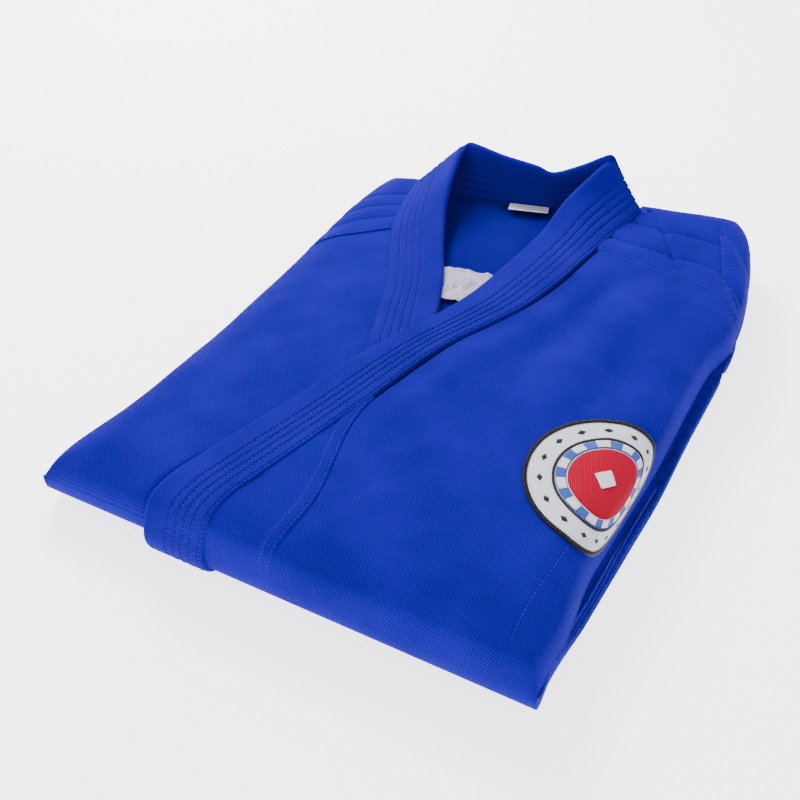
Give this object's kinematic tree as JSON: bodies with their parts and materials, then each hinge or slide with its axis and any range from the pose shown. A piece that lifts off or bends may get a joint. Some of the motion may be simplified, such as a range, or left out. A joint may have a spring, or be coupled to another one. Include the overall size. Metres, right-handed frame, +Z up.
{
  "type": "martial arts jacket",
  "caption": "Cotton martial arts jacket folded into a flat stack, front and collar up, skirt folded under, with quilted lapels, shoulder reinforcements and a round chest badge.",
  "frame": {"origin": "under the middle of the folded stack, on the surface that it lies on", "axes": "+X along the near fold towards the wearer's left, +Y from the near fold to the collar, +Z up out of the jacket's front"},
  "size_m": [0.3432, 0.4794, 0.0854],
  "materials": {
    "blue_cotton": "woven cotton, matt with a soft violet sheen",
    "band_core": "folded cotton strips inside the lapel",
    "woven_label": "woven white tape",
    "satin_patch": "silver-white satin",
    "badge_white": "satin-stitched white thread",
    "badge_black": "overlocked black thread",
    "badge_pale_blue": "satin-stitched light blue thread",
    "badge_red": "satin-stitched red thread"
  },
  "bodies": {
    "skirt_half": {"left_front_skirt": "blue_cotton", "right_front_skirt": "blue_cotton", "left_lapel_tail_facing": "blue_cotton", "right_lapel_tail_facing": "blue_cotton", "back_skirt": "blue_cotton", "left_side_skirt": "blue_cotton", "right_side_skirt": "blue_cotton", "left_vent_patch": "blue_cotton", "right_vent_patch": "blue_cotton", "left_lapel_tail_core": "band_core", "right_lapel_tail_core": "band_core"},
    "chest_half": {"left_front_panel": "blue_cotton", "right_front_panel": "blue_cotton", "left_okumi_panel": "blue_cotton", "right_okumi_panel": "blue_cotton", "left_shoulder_yoke": "blue_cotton", "right_shoulder_yoke": "blue_cotton", "left_lapel_facing": "blue_cotton", "right_lapel_facing": "blue_cotton", "back_neck_facing": "blue_cotton", "back_panel": "blue_cotton", "left_side_fold": "blue_cotton", "right_side_fold": "blue_cotton", "left_sleeve": "blue_cotton", "right_sleeve": "blue_cotton", "left_sleeve_cuff": "blue_cotton", "right_sleeve_cuff": "blue_cotton", "left_underarm_gusset": "blue_cotton", "right_underarm_gusset": "blue_cotton", "left_lapel_core": "band_core", "right_lapel_core": "band_core", "back_neck_core": "band_core", "size_patch": "satin_patch", "badge_ground": "badge_white", "badge_edging": "badge_black", "badge_ring": "badge_black", "badge_field": "badge_pale_blue", "badge_disc": "badge_red", "badge_diamond": "badge_white"},
    "label_flap": {"neck_label": "woven_label"}
  },
  "joints": [
    {"name": "near_fold", "type": "hinge", "parent": "skirt_half", "child": "chest_half", "pos_m": [0, -0.241, 0.024], "axis": [1, 0, 0], "range_deg": [0, 170]},
    {"name": "label_hinge", "type": "hinge", "parent": "chest_half", "child": "label_flap", "pos_m": [-0.0245, 0.1878, 0.03779], "axis": [-0.9659, -0.2588, 0], "range_deg": [0, 75]}
  ]
}
